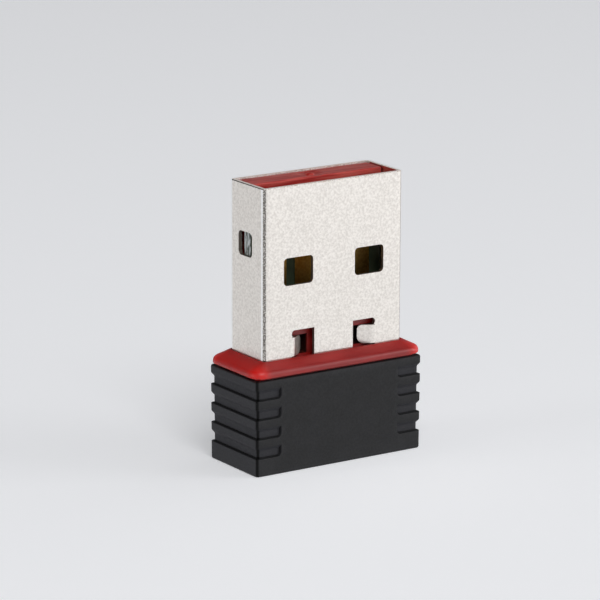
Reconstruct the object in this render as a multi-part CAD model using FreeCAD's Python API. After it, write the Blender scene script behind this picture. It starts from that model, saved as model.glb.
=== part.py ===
import FreeCAD, Part
import math
import os

# A stub-sized USB wireless adapter: a folded steel plug shell over a red plastic carrier, a circuit board
# that runs the whole length of both, and a black moulded cup that closes the far end.
#
# All lengths are in millimetres.  +Z points to the tip of the plug, +X runs across its wide side, and -Y is
# the open side of the plug, where the contacts are.  The origin is the centre of the housing's flat end.

V = FreeCAD.Vector

# ------------------------------------------------------------------ fits
slip_fit = 0.05             # clearance between parts that are pushed together

# ------------------------------------------------------------------ black housing
housing_width = 14.34       # at the open rim
housing_depth = 6.28
housing_height = 7.05
housing_corner = 0.25
housing_draft = 0.3         # degrees; the cup narrows towards its closed end
housing_wall = 0.8
housing_floor = 0.9
base_round = 0.12           # round of the closed end's outer edge
rim_bevel = 0.12
grip_count = 4              # recesses above each other at each narrow end
grip_pitch = 1.43
grip_from_rim = 0.54        # rim to the highest recess
grip_height = 0.9
grip_depth = 0.16
grip_ramp = 0.3             # height of the slope that runs out of each recess at its top
grip_corner = 0.3           # round where a recess's lower edge turns up
grip_wrap = 2.12            # how far each recess reaches round onto the wide faces
grip_undercut = 0.08        # extra depth of the fine groove along each recess's lower edge
grip_undercut_height = 0.07
cradle_rise = 0.55          # inside of the floor to the end of the board
cradle_lip = 0.7            # how far the two posts rise beside the board
cradle_bite = 0.7           # how far the posts reach in over the board's edges
cradle_cheek = 0.8          # plastic in front of and behind the board's edge

# ------------------------------------------------------------------ red carrier
collar_height = 1.18
collar_overhang = 0.1       # collar's outline outside the housing's outline
collar_corner = 0.98
collar_fall = 0.57          # the collar's top slopes down by this from the shell to its edge
collar_land = 0.05          # flat between the shell's seat and that slope
collar_round = 0.4          # round between the slope and the collar's upright edge
seam_height = 0.22          # shadow gap between collar and housing
seam_depth = 0.45
skirt_height = 1.5          # part of the carrier that is pushed into the housing
skirt_wall = 0.6
snap_radius = 0.16          # snap ridges on the skirt
snap_length = 5.0
snap_level = 0.75           # rim of the housing down to the ridges
core_height = 2.4           # solid block inside the foot of the plug shell
core_corner = 0.15
core_front_gap = 0.3        # inside of the shell's open side to the core
rail_width = 0.6
rail_gap = 0.35             # rails stand this far inside the core's sides
end_wall = 0.62             # thickness of the wall at the tip of the tongue
end_recess = 0.08           # tip of the shell down to that wall
end_lead_in = 0.1           # bevel on the tongue's leading edge
end_overhang = 0.15         # end wall stands this far in front of the board
dimple_diameter = 2.05
dimple_depth = 0.12
gate_diameter = 0.75        # moulding gate left in the dimple
gate_height = 0.2

# ------------------------------------------------------------------ steel plug shell
shell_width = 12.0
shell_depth = 4.5
shell_length = 12.56
sheet = 0.3
fold_radius = 0.4           # outside of the four folds
seat_depth = 0.15           # the shell's foot stands in a seat of this depth in the collar
seat_gap = 0.1              # shadow gap round the shell's foot
tip_bevel = 0.05
window_width = 2.5          # latch windows, two in each wide face
window_height = 2.03
window_corner = 0.3
window_offset = 3.05
window_from_tip = 5.22
port_width = 1.79           # small windows, one in each narrow face
port_height = 1.79
port_corner = 0.35
port_offset = 0.18
port_from_tip = 3.5
lock_inner = 1.67           # centre plane to the near edge of each lock slot
lock_slot = 0.7             # width of the upright slot beside a tab
lock_tab_width = 1.24
lock_tab_height = 1.42
lock_arm = 0.55             # height of the slot above a tab
lock_relief = 0.05          # sheared gap along the tab's upper edge
lock_bend = 33.0            # degrees
lock_bend_radius = 0.35
lock_tab_low_corner = 0.48
lock_tab_high_corner = 0.38
lock_end_flat = 0.01        # straight part between the two rounds that end the slot above a tab
lock_tab_lift = 0.05
pocket_depth = 1.35         # pockets in the carrier that the tabs bend into
pocket_margin = 0.12        # pocket's reach past the tab's bend
pocket_ledge = 0.25         # upright slot's inner edge to the pocket
closing_seam = 0.05         # gap where the folded sheet meets itself, on the closed wide face
dovetail_reach = 1.1
dovetail_neck = 0.9
dovetail_flare = 0.2        # a dovetail is wider by this on each side at its end
dovetail_levels = (2.6, 9.2)    # foot of the shell to each dovetail

# ------------------------------------------------------------------ circuit board
board_thickness = 0.8
board_side_gap = 0.1        # board's edge to the inside of the shell
board_corner = 0.4
shoulder = 0.4              # the board is wider by this on each side below the carrier
mating_gap = 2.0            # inside of the shell's open side to the contact faces
contact_thickness = 0.05
outer_contact_width = 2.05
inner_contact_width = 1.65
contact_corner = 0.25
contact_clearance = 1.77    # top of the carrier's core to the foot of the contacts
power_contact_from_tip = 1.6
data_contact_from_tip = 2.6
outer_contact_offset = 3.6  # centre plane to the middle of the strip
inner_contact_offset = 1.0

# ------------------------------------------------------------------ printed antenna
foil = 0.04
trace_width = 0.35
trace_pitch = 0.9
trace_bends = 10
trace_reach = 1.3
trace_from_edge = 0.3       # end of the board to the nearest foil
feed_length = 1.0

# ------------------------------------------------------------------ parts on the board
# Each place is (across the board, along it): along it from the middle of the chip, or from the level named.
chip_size = 5.0
chip_body_height = 0.65
chip_level = 5.07           # top of the carrier's core to the middle of the chip
lead_frame_thickness = 0.2
lead_count = 10             # on each side of the chip
lead_pitch = 0.4
lead_width = 0.22
lead_length = 0.4
chip_pad_size = 3.4
pin_mark_diameter = 0.5
pin_mark_depth = 0.05
pin_mark_inset = 0.7
crystal_width = 2.5
crystal_length = 2.0
crystal_base_height = 0.4
crystal_lid_height = 0.2
crystal_margin = 0.2
crystal_gap = 0.35          # top of the carrier's core to the crystal
regulator_width = 2.9
regulator_length = 1.6
regulator_height = 1.0
regulator_stand = 0.1       # underside of the body to the board
regulator_taper = 0.08
regulator_offset = -2.6
pin_offsets = ((-0.95, -1), (0.0, -1), (0.95, -1), (-0.95, 1), (0.95, 1))
pin_width = 0.35
pin_thickness = 0.15
pin_reach = 0.6
pin_foot = 0.35
choke_width = 2.0
choke_length = 1.6
choke_height = 0.9
choke_cap = 0.35
choke_offset = 2.6
small_length = 1.0          # capacitors, resistors and matching coils have one footprint
small_width = 0.5
small_cap = 0.25            # length of each metal end
capacitor_height = 0.5
resistor_height = 0.35
coil_height = 0.45
chip_capacitors = ((-3.6, -1.7), (-3.6, -0.3), (-3.6, 1.1), (3.6, -1.7), (3.6, -0.3), (3.6, 1.1))
end_row_inset = 0.67        # end of the board to the row of small parts beside it
end_capacitors = (-2.2, 2.2)
end_resistor = 0.0
crystal_resistors = (-2.6, 2.6)
supply_drop = 1.1           # foot of the skirt down to the regulator, the choke and their capacitors
supply_capacitors = (-5.0, 5.0)
coil_pitch = 1.4

# ------------------------------------------------------------------ worked out from the sizes above
collar_top = housing_height + collar_height
tip = collar_top + shell_length
shell_foot = collar_top - seat_depth
inner_width = shell_width - 2 * sheet
inner_depth = shell_depth - 2 * sheet
core_width = inner_width - 2 * slip_fit
core_back = inner_depth / 2 - slip_fit
core_front = -inner_depth / 2 + core_front_gap
core_top = collar_top + core_height
contact_face = -inner_depth / 2 + mating_gap
board_front = contact_face + contact_thickness
board_back = board_front + board_thickness
board_width = inner_width - 2 * board_side_gap
skirt_foot = housing_height - skirt_height
end_wall_top = tip - end_recess
end_wall_foot = end_wall_top - end_wall
board_top = end_wall_foot - slip_fit
board_foot = housing_floor + cradle_rise
foot_width = board_width + 2 * shoulder
tab_hinge = lock_inner + lock_slot + lock_tab_width
tab_top = collar_top + lock_tab_height
arm_round = (lock_arm - lock_end_flat) / 2
snap_height = housing_height - snap_level
grip_first = housing_height - grip_from_rim - grip_height - (grip_count - 1) * grip_pitch
rail_offset = core_width / 2 - rail_gap - rail_width / 2
contact_foot = core_top + contact_clearance
chip_place = (0.0, core_top + chip_level)
crystal_place = (0.0, core_top + crystal_gap + crystal_length / 2)
end_row = board_top - end_row_inset
supply_row = skirt_foot - supply_drop
regulator_place = (regulator_offset, supply_row)
choke_place = (choke_offset, supply_row)
capacitor_places = ([(x, chip_place[1] + z) for x, z in chip_capacitors]
                    + [(x, end_row) for x in end_capacitors]
                    + [(x, supply_row) for x in supply_capacitors])
resistor_places = [(end_resistor, end_row)] + [(x, crystal_place[1]) for x in crystal_resistors]
trace_low = board_foot + trace_from_edge
trace_high = trace_low + trace_reach
feed_top = trace_high + feed_length
first_coil = (small_cap - small_length) / 2
coil_places = [(first_coil + step * coil_pitch, feed_top + small_width / 2) for step in (0, 1)]
draft_slope = math.tan(math.radians(housing_draft))
hollow_width = housing_width - 2 * (housing_wall + skirt_height * draft_slope)
hollow_depth = housing_depth - 2 * (housing_wall + skirt_height * draft_slope)


# ------------------------------------------------------------------ shapes used by several pieces
def block(x, y, z):
    """A box between the two ends given for each axis."""
    return Part.makeBox(x[1] - x[0], y[1] - y[0], z[1] - z[0], V(x[0], y[0], z[0]))


def around(middle, size):
    """The two ends of a length centred on a point."""
    return (middle - size / 2, middle + size / 2)


def union(shapes):
    """One clean solid out of shapes that overlap or share faces."""
    return shapes[0].multiFuse(shapes[1:]).removeSplitter()


def round_rectangle(width, depth, radius, z=0.0, centre=(0.0, 0.0)):
    """Closed outline of a rectangle with round corners, flat at height z."""
    reach_x = width / 2 - radius
    reach_y = depth / 2 - radius
    arcs = []
    for quarter, (side_x, side_y) in enumerate(((1, 1), (-1, 1), (-1, -1), (1, -1))):
        middle = V(centre[0] + side_x * reach_x, centre[1] + side_y * reach_y, z)
        turns = [math.radians(90 * quarter + step) for step in (0, 45, 90)]
        arcs.append([middle + V(radius * math.cos(turn), radius * math.sin(turn), 0) for turn in turns])
    edges = []
    for arc, next_arc in zip(arcs, arcs[1:] + arcs[:1]):
        edges.append(Part.Arc(*arc).toShape())
        edges.append(Part.makeLine(arc[2], next_arc[0]))
    return Part.Wire(edges)


def bar(outline, height):
    """Solid raised from a flat outline along +Z."""
    return Part.Face(outline).extrude(V(0, 0, height))


def loft(lower, upper):
    """Solid with straight walls between two outlines."""
    return Part.makeLoft([lower, upper], True, True)


def plate_along_y(width, height, corner, place, y, thickness):
    """Round-cornered plate that faces along the Y axis; place is its centre across and its centre height."""
    plate = bar(round_rectangle(width, height, corner, centre=(place[0], -place[1])), thickness)
    turn = FreeCAD.Rotation(V(1, 0, 0), V(0, 0, -1), V(0, 1, 0), "ZXY")
    plate.Placement = FreeCAD.Placement(V(0, y, 0), turn)
    return plate


def plate_along_x(width, height, corner, place, x, thickness):
    """Round-cornered plate that faces along the X axis; place is its centre in Y and its centre height."""
    plate = bar(round_rectangle(height, width, corner, centre=(-place[1], place[0])), thickness)
    turn = FreeCAD.Rotation(V(0, 0, -1), V(0, 1, 0), V(1, 0, 0), "ZXY")
    plate.Placement = FreeCAD.Placement(V(x, 0, 0), turn)
    return plate


def mirrored(shape):
    """The same shape on the other side of the plane X = 0."""
    return shape.mirror(V(0, 0, 0), V(1, 0, 0))


def ball_cap_radius(width, height):
    """Radius of the ball whose cap has this width and height."""
    return ((width / 2) ** 2 + height ** 2) / (2 * height)


def write(name, shape):
    """Checks one node and writes it."""
    if shape.isNull() or not shape.isValid():
        raise ValueError(name + " is not a valid shape")
    print(f"{name:20s} solids {len(shape.Solids):3d}  volume {shape.Volume:9.4f} mm3")
    shape.exportStep("parts/" + name + ".step")


# ------------------------------------------------------------------ housing
def housing_outline(z, inset):
    """Outline of the cup at height z, drawn in by inset on every side, with the mould's draft."""
    shrink = 2 * (inset + (housing_height - z) * draft_slope)
    return round_rectangle(housing_width - shrink, housing_depth - shrink, housing_corner, z)


def grip_recess(foot):
    """Band round one narrow end: flat floor, square lower edge with a fine groove, sloping upper edge."""
    ramp = foot + grip_height - grip_ramp
    top = foot + grip_height
    inner_end = housing_width / 2 - grip_wrap
    zone = block((inner_end, housing_width), (-housing_depth, housing_depth), (foot, top))
    turns = [edge for edge in zone.Edges if edge.BoundBox.XMax < inner_end + grip_corner
             and edge.BoundBox.ZMax < foot + grip_corner]
    zone = zone.makeFillet(grip_corner, turns)
    groove_top = foot + grip_undercut_height
    groove_depth = grip_depth + grip_undercut
    groove = loft(housing_outline(foot, groove_depth), housing_outline(groove_top, groove_depth))
    core = loft(housing_outline(groove_top, grip_depth), housing_outline(ramp, grip_depth))
    slope = loft(housing_outline(ramp, grip_depth), housing_outline(top, 0))
    return zone.cut([groove, core, slope])


def snap_ridge(radius, side):
    """Half-round ridge along one long side of the skirt, or the groove that it snaps into."""
    start = V(-snap_length / 2, side * (hollow_depth / 2 - slip_fit), snap_height)
    return Part.makeCylinder(radius, snap_length, start, V(1, 0, 0))


def cradle_post():
    """Post inside the cup with a groove that the board's lower corner stands in."""
    reach = foot_width / 2
    post = block((reach - cradle_bite, hollow_width / 2 + housing_wall / 2),
                 (board_front - cradle_cheek, board_back + cradle_cheek),
                 (housing_floor / 2, board_foot + cradle_lip))
    groove = block((0, reach + slip_fit), (board_front - slip_fit, board_back + slip_fit),
                   (board_foot, board_foot + cradle_lip))
    return post.cut(groove)


def make_housing():
    """Black cup with grip recesses, a hollow for the board and two posts that hold the board's end."""
    cup = loft(housing_outline(0, 0), housing_outline(housing_height, 0))
    base_edges = [edge for edge in cup.Edges if edge.BoundBox.ZMax < base_round]
    cup = cup.makeFillet(base_round, base_edges)
    rim_edges = [edge for edge in cup.Edges if edge.BoundBox.ZMin > housing_height - rim_bevel]
    cup = cup.makeFillet(rim_bevel, rim_edges)
    for step in range(grip_count):
        recess = grip_recess(grip_first + step * grip_pitch)
        cup = cup.cut([recess, mirrored(recess)])
    hollow = loft(housing_outline(housing_floor, housing_wall),
                  housing_outline(housing_height, housing_wall))
    grooves = [snap_ridge(snap_radius + slip_fit, side) for side in (-1, 1)]
    cup = cup.cut([hollow] + grooves)
    return union([cup, cradle_post(), mirrored(cradle_post())])


# ------------------------------------------------------------------ carrier
def seat_outline(z, land=0.0):
    """Outline of the seat for the shell's foot at height z, or of a flat land round it."""
    gap = seat_gap + land
    return round_rectangle(shell_width + 2 * gap, shell_depth + 2 * gap, fold_radius + gap, z)


def make_collar():
    """Collar that slopes down from the shell to a round shoulder, on a neck that leaves a shadow gap."""
    width = housing_width + 2 * collar_overhang
    depth = housing_depth + 2 * collar_overhang
    seam_top = housing_height + seam_height
    shoulder_level = collar_top - collar_fall
    edge_height = shoulder_level - seam_top
    rim = bar(round_rectangle(width, depth, collar_corner, seam_top), edge_height)
    slope = loft(round_rectangle(width, depth, collar_corner, shoulder_level),
                 seat_outline(collar_top, collar_land))
    collar = union([rim, slope])
    shoulder = [edge for edge in collar.Edges
                if edge.BoundBox.ZMin > seam_top and edge.BoundBox.ZMax < collar_top]
    collar = collar.makeFillet(min(collar_round, edge_height), shoulder)
    neck_corner = collar_corner - seam_depth
    neck = bar(round_rectangle(width - 2 * seam_depth, depth - 2 * seam_depth, neck_corner, housing_height),
               seam_height)
    return [collar, neck]


def make_skirt():
    """Ring below the collar that is pushed into the housing, with a snap ridge on each long side."""
    width = hollow_width - 2 * slip_fit
    depth = hollow_depth - 2 * slip_fit
    ring = bar(round_rectangle(width, depth, housing_corner, skirt_foot), skirt_height)
    ring = ring.fuse([snap_ridge(snap_radius, side) for side in (-1, 1)])
    hole = bar(round_rectangle(width - 2 * skirt_wall, depth - 2 * skirt_wall, core_corner, skirt_foot),
               skirt_height)
    return ring.cut(hole)


def make_end_wall():
    """Wall over the board's edge at the tip, with the round dimple and gate that the mould leaves."""
    back = core_back
    front = board_front - end_overhang
    middle = (front + back) / 2
    wall = bar(round_rectangle(core_width, back - front, core_corner, end_wall_foot, (0, middle)), end_wall)
    nose = [edge for edge in wall.Edges
            if edge.BoundBox.YMax < front + end_lead_in and edge.BoundBox.ZMin > end_wall_top - end_lead_in]
    wall = wall.makeChamfer(end_lead_in, nose)
    dimple_ball = ball_cap_radius(dimple_diameter, dimple_depth)
    dimple_floor = end_wall_top - dimple_depth
    dimple = Part.makeSphere(dimple_ball, V(0, middle, dimple_floor + dimple_ball))
    gate_ball = ball_cap_radius(gate_diameter, gate_height)
    gate = Part.makeSphere(gate_ball, V(0, middle, dimple_floor + gate_height - gate_ball))
    gate = gate.common(block(around(0, gate_diameter), around(middle, gate_diameter), (end_wall_foot, tip)))
    return wall.cut(dimple).fuse(gate)


def make_seat():
    """Groove in the collar's top for the foot of the shell, with a shadow gap all round it."""
    outer = bar(seat_outline(shell_foot), seat_depth)
    kept = block(around(0, core_width), (core_front, core_back), (shell_foot, collar_top))
    return outer.cut(kept)


def make_carrier():
    """Red moulding that holds the board: collar, skirt, core, two rails and the wall at the tip."""
    core_depth = core_back - core_front
    core_middle = (core_front + core_back) / 2
    core = bar(round_rectangle(core_width, core_depth, core_corner, collar_top, (0, core_middle)), core_height)
    behind_board = board_back + slip_fit
    rail = block(around(rail_offset, rail_width), (behind_board, core_back), (core_top, end_wall_foot))
    body = union(make_collar() + [make_skirt(), core, rail, mirrored(rail), make_end_wall()])

    board_gap = (board_front - slip_fit, behind_board)
    slot = block(around(0, board_width + 2 * slip_fit), board_gap, (housing_height, collar_top))
    core_gap = block(around(0, shell_width), board_gap, (collar_top, core_top))
    pocket = block((lock_inner + pocket_ledge, tab_hinge + pocket_margin),
                   (core_front, core_front + pocket_depth), (collar_top, tab_top))
    return body.cut([make_seat(), slot, core_gap, pocket, mirrored(pocket)])


# ------------------------------------------------------------------ plug shell
def lock_tab():
    """Tab of the shell's open face, bent inwards about an upright line at its outer edge."""
    front = -shell_depth / 2
    foot = collar_top + lock_tab_lift
    height = tab_top - foot
    bend_line = V(tab_hinge, front + sheet + lock_bend_radius, 0)
    root = Part.makePlane(sheet, height, V(tab_hinge, front, foot), V(1, 0, 0), V(0, 1, 0))
    bend = root.revolve(bend_line, V(0, 0, -1), lock_bend)
    reach = lock_tab_width - math.radians(lock_bend) * (lock_bend_radius + sheet / 2)
    free_edge = tab_hinge - reach
    tab = block((free_edge, tab_hinge), (front, front + sheet), (foot, tab_top))
    for level, corner in ((foot, lock_tab_low_corner), (tab_top, lock_tab_high_corner)):
        end_edges = [edge for edge in tab.Edges if edge.BoundBox.XMax < free_edge + sheet / 2
                     and abs(edge.CenterOfMass.z - level) < sheet / 2]
        tab = tab.makeFillet(corner, end_edges)
    tab.rotate(bend_line, V(0, 0, -1), lock_bend)
    return union([bend, tab])


def lock_slots():
    """Cutting bodies that free one tab: its own place, the upright slot beside it and the arm above it."""
    through_wall = (-shell_depth, -inner_depth / 2)
    slot_top = tab_top + lock_arm
    place = block((lock_inner, tab_hinge), through_wall, (shell_foot, tab_top + lock_relief))
    upright = block((lock_inner, lock_inner + lock_slot), through_wall, (shell_foot, slot_top))
    arm = block((lock_inner, tab_hinge), through_wall, (tab_top, slot_top))
    far_edges = [edge for edge in arm.Edges if edge.BoundBox.XMin > tab_hinge - arm_round
                 and edge.BoundBox.YLength > sheet]
    return [place, upright, arm.makeFillet(arm_round, far_edges)]


def closing_seam_cutters():
    """Thin cuts along the line where the sheet's two edges meet, with two interlocking dovetails."""
    points = [(0, shell_foot)]
    for level in dovetail_levels:
        low = collar_top + level
        high = low + dovetail_neck
        points += [(0, low), (dovetail_reach, low - dovetail_flare),
                   (dovetail_reach, high + dovetail_flare), (0, high)]
    points.append((0, tip))
    cuts = []
    for (x0, z0), (x1, z1) in zip(points, points[1:]):
        length = math.hypot(x1 - x0, z1 - z0)
        run = (-closing_seam / 2, length + closing_seam / 2)
        cut = block(run, (0, shell_depth), around(0, closing_seam))
        cut.rotate(V(0, 0, 0), V(0, -1, 0), math.degrees(math.atan2(z1 - z0, x1 - x0)))
        cut.translate(V(x0, 0, z0))
        cuts.append(cut)
    return cuts


def make_shell():
    """Folded steel sleeve with latch windows, side ports, two lock tabs and a dovetailed closing seam."""
    length = tip - shell_foot
    outside = bar(round_rectangle(shell_width, shell_depth, fold_radius, shell_foot), length)
    tip_edges = [edge for edge in outside.Edges if edge.BoundBox.ZMin > tip - tip_bevel]
    outside = outside.makeChamfer(tip_bevel, tip_edges)
    inside = bar(round_rectangle(inner_width, inner_depth, fold_radius - sheet, shell_foot), length)
    window_level = tip - window_from_tip - window_height / 2
    windows = [plate_along_y(window_width, window_height, window_corner, (x, window_level),
                             -shell_depth, 2 * shell_depth) for x in (-window_offset, window_offset)]
    port_level = tip - port_from_tip - port_height / 2
    ports = plate_along_x(port_width, port_height, port_corner, (port_offset, port_level),
                          -shell_width, 2 * shell_width)
    slots = lock_slots()
    sleeve = outside.cut([inside, ports] + windows + slots + [mirrored(slot) for slot in slots])
    sleeve = sleeve.cut(closing_seam_cutters())
    return union([sleeve, lock_tab(), mirrored(lock_tab())])


# ------------------------------------------------------------------ circuit board
def make_board():
    """Board with round upper corners and two shoulders that stop under the carrier's skirt."""
    middle = (board_top + board_foot) / 2
    blade = plate_along_y(board_width, board_top - board_foot, board_corner, (0, middle),
                          board_front, board_thickness)
    foot = block(around(0, foot_width), (board_front, board_back), (board_foot, skirt_foot))
    return union([blade, foot])


def make_contact(offset, width, from_tip):
    """Gold-plated contact strip on the board's front."""
    top = tip - from_tip
    return plate_along_y(width, top - contact_foot, contact_corner, (offset, (top + contact_foot) / 2),
                         contact_face, contact_thickness)


def make_antenna():
    """Meandering foil strip along the board's lower edge, with a feed up to the matching coils."""
    first = -trace_pitch * trace_bends / 2
    depth = (board_front - foil, board_front)
    strips = []
    for bend in range(trace_bends + 1):
        x = first + bend * trace_pitch
        strips.append(block(around(x, trace_width), depth, (trace_low, trace_high)))
        if bend < trace_bends:
            level = trace_high - trace_width / 2 if bend % 2 else trace_low + trace_width / 2
            strips.append(block((x, x + trace_pitch), depth, around(level, trace_width)))
    strips.append(block(around(0, trace_width), depth, (trace_high - trace_width, feed_top)))
    return union(strips)


# ------------------------------------------------------------------ parts on the board
def on_back(place, width, length, low, high):
    """Box on the board's back, between two heights above it."""
    return block(around(place[0], width), (board_back + low, board_back + high), around(place[1], length))


def make_chip_leads():
    """Copper lead frame under the radio chip: a row of leads along each side and a square pad."""
    x, z = chip_place
    solids = [on_back(chip_place, chip_pad_size, chip_pad_size, 0, lead_frame_thickness)]
    edge = (chip_size - lead_length) / 2
    for index in range(lead_count):
        run = (index - (lead_count - 1) / 2) * lead_pitch
        for side in (-1, 1):
            upright = (x + run, z + side * edge)
            level = (x + side * edge, z + run)
            solids.append(on_back(upright, lead_width, lead_length, 0, lead_frame_thickness))
            solids.append(on_back(level, lead_length, lead_width, 0, lead_frame_thickness))
    return Part.makeCompound(solids)


def make_chip():
    """Moulded body of the radio chip on its lead frame, with a round mark beside its first lead."""
    x, z = chip_place
    top = lead_frame_thickness + chip_body_height
    body = on_back(chip_place, chip_size, chip_size, lead_frame_thickness, top)
    reach = chip_size / 2 - pin_mark_inset
    mark = Part.makeCylinder(pin_mark_diameter / 2, pin_mark_depth,
                             V(x - reach, board_back + top - pin_mark_depth, z + reach), V(0, 1, 0))
    return body.cut(mark)


def make_crystal():
    """Ceramic base and metal lid of the crystal."""
    base = on_back(crystal_place, crystal_width, crystal_length, 0, crystal_base_height)
    lid = on_back(crystal_place, crystal_width - crystal_margin, crystal_length - crystal_margin,
                  crystal_base_height, crystal_base_height + crystal_lid_height)
    return base, lid


def make_regulator():
    """Moulded body of the voltage regulator and its five bent pins."""
    x, z = regulator_place
    low = board_back + regulator_stand
    middle = low + regulator_height / 2
    high = low + regulator_height

    def outline(y, shrink):
        reach_x = regulator_width / 2 - shrink
        reach_z = regulator_length / 2 - shrink
        corners = [V(x + side_x * reach_x, y, z + side_z * reach_z)
                   for side_x, side_z in ((-1, -1), (1, -1), (1, 1), (-1, 1), (-1, -1))]
        return Part.makePolygon(corners)

    body = union([loft(outline(low, regulator_taper), outline(middle, 0)),
                  loft(outline(middle, 0), outline(high, regulator_taper))])
    pins = []
    for offset, side in pin_offsets:
        wall = z + side * regulator_length / 2
        knee = wall + side * (pin_reach - pin_foot)
        end = wall + side * pin_reach
        pin_x = around(x + offset, pin_width)
        span = sorted((wall, knee))
        foot = sorted((knee - side * pin_thickness, end))
        riser = sorted((knee - side * pin_thickness, knee))
        shoulder_y = (middle - pin_thickness / 2, middle + pin_thickness / 2)
        pins.append(union([
            block(pin_x, shoulder_y, span),
            block(pin_x, (board_back, shoulder_y[1]), riser),
            block(pin_x, (board_back, board_back + pin_thickness), foot),
        ]))
    return body, Part.makeCompound(pins)


def two_ended(places, width, length, height, cap, base):
    """Chip parts with a metal cap at each end: one group of bodies and one group of caps."""
    direction = -1 if base == board_front else 1
    depth = sorted((base, base + direction * height))
    bodies = []
    caps = []
    for x, z in places:
        bodies.append(block(around(x, width - 2 * cap), depth, around(z, length)))
        for side in (-1, 1):
            caps.append(block(around(x + side * (width - cap) / 2, cap), depth, around(z, length)))
    return Part.makeCompound(bodies), Part.makeCompound(caps)


def small_parts(places, height, base):
    """Chip parts of the one small footprint."""
    return two_ended(places, small_length, small_width, height, small_cap, base)


os.makedirs("parts", exist_ok=True)
write("housing", make_housing())
write("carrier", make_carrier())
write("usb_shell", make_shell())
write("circuit_board", make_board())
# The two outer strips start nearer to the tip, so that they mate first.
outer_strip = (outer_contact_width, power_contact_from_tip)
inner_strip = (inner_contact_width, data_contact_from_tip)
write("contact_power", make_contact(-outer_contact_offset, *outer_strip))
write("contact_data_minus", make_contact(-inner_contact_offset, *inner_strip))
write("contact_data_plus", make_contact(inner_contact_offset, *inner_strip))
write("contact_ground", make_contact(outer_contact_offset, *outer_strip))
write("antenna_trace", make_antenna())
write("wifi_chip", make_chip())
write("wifi_chip_leads", make_chip_leads())
crystal_base, crystal_lid = make_crystal()
write("crystal_base", crystal_base)
write("crystal_lid", crystal_lid)
regulator_body, regulator_pins = make_regulator()
write("regulator_body", regulator_body)
write("regulator_pins", regulator_pins)
choke_core, choke_caps = two_ended([choke_place], choke_width, choke_length, choke_height, choke_cap,
                                   board_back)
write("choke_core", choke_core)
write("choke_caps", choke_caps)
capacitor_bodies, capacitor_caps = small_parts(capacitor_places, capacitor_height, board_back)
write("capacitor_bodies", capacitor_bodies)
write("capacitor_caps", capacitor_caps)
resistor_bodies, resistor_caps = small_parts(resistor_places, resistor_height, board_back)
write("resistor_bodies", resistor_bodies)
write("resistor_caps", resistor_caps)
coil_bodies, coil_caps = small_parts(coil_places, coil_height, board_front)
write("matching_coil_bodies", coil_bodies)
write("matching_coil_caps", coil_caps)
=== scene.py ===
# %% [markdown]
# # A stub-sized USB wireless adapter
#
# The adapter is four things that the eye can see: a folded, nickel-plated steel plug, a red moulded carrier, a
# black moulded cup, and, through small windows in the steel, the circuit board with its gold strips and chip.
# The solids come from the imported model, already in metres and already in place.  This lesson gives each of them its
# finish, and works out a finer surface with numpy for the cup, where the eye comes closest to the edges.

# %% Load the solids
import math
import bpy
import numpy as np
from mathutils import Matrix, Vector


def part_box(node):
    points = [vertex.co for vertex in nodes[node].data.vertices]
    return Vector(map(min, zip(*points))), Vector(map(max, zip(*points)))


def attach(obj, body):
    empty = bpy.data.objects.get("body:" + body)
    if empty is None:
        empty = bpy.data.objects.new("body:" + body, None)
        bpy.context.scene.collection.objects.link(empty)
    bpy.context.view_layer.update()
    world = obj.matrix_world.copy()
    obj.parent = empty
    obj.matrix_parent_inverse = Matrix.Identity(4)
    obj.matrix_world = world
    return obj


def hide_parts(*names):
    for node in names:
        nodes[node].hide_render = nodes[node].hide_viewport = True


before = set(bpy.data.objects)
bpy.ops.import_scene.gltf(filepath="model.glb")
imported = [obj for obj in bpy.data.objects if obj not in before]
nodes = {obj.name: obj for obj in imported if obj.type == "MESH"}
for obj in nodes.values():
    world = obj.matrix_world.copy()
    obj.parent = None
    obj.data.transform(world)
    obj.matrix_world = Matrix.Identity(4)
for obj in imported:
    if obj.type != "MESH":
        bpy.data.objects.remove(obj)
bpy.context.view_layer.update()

MM = 0.001


def node_box(name):
    """Lowest and highest corner of a solid, in mm, as numpy arrays."""
    return [np.array(corner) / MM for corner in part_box(name)]


def put_in_scene(name, data):
    """A new object that holds a mesh, a lamp or a lens."""
    thing = bpy.data.objects.new(name, data)
    bpy.context.scene.collection.objects.link(thing)
    return thing


# %% [markdown]
# ## The camera comes first
#
# A small object is photographed from far away with a long lens, so that its upright edges stay nearly parallel.
# The camera is placed by two angles and a distance from the point it looks at, which is easier to read and to
# change than a position and three turns.  Azimuth 0 looks along +Y; a negative azimuth stands to the left.

# %% Place the camera
azimuth = math.radians(-33.6)
elevation = math.radians(14.2)
roll = math.radians(0.2)
distance = 265.3 * MM
aim = Vector((-0.86, 0.85, 11.43)) * MM

towards = Vector((math.sin(azimuth) * math.cos(elevation),
                  -math.cos(azimuth) * math.cos(elevation),
                  math.sin(elevation)))
right = Vector((math.cos(azimuth), math.sin(azimuth), 0.0))
up = towards.cross(right)
turned_right = math.cos(roll) * right + math.sin(roll) * up
turned_up = math.cos(roll) * up - math.sin(roll) * right

lens = bpy.data.cameras.new("camera")
lens.sensor_width = 36.0
lens.lens = 219.8
lens.clip_start = 1 * MM
camera = put_in_scene("camera", lens)
rotation = Matrix((turned_right, turned_up, towards)).transposed().to_4x4()
camera.matrix_world = Matrix.Translation(aim + distance * towards) @ rotation
bpy.context.scene.camera = camera
bpy.context.scene.view_settings.view_transform = "Standard"
print("camera stands", round(distance / MM), "mm away with a", lens.lens, "mm lens")


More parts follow.
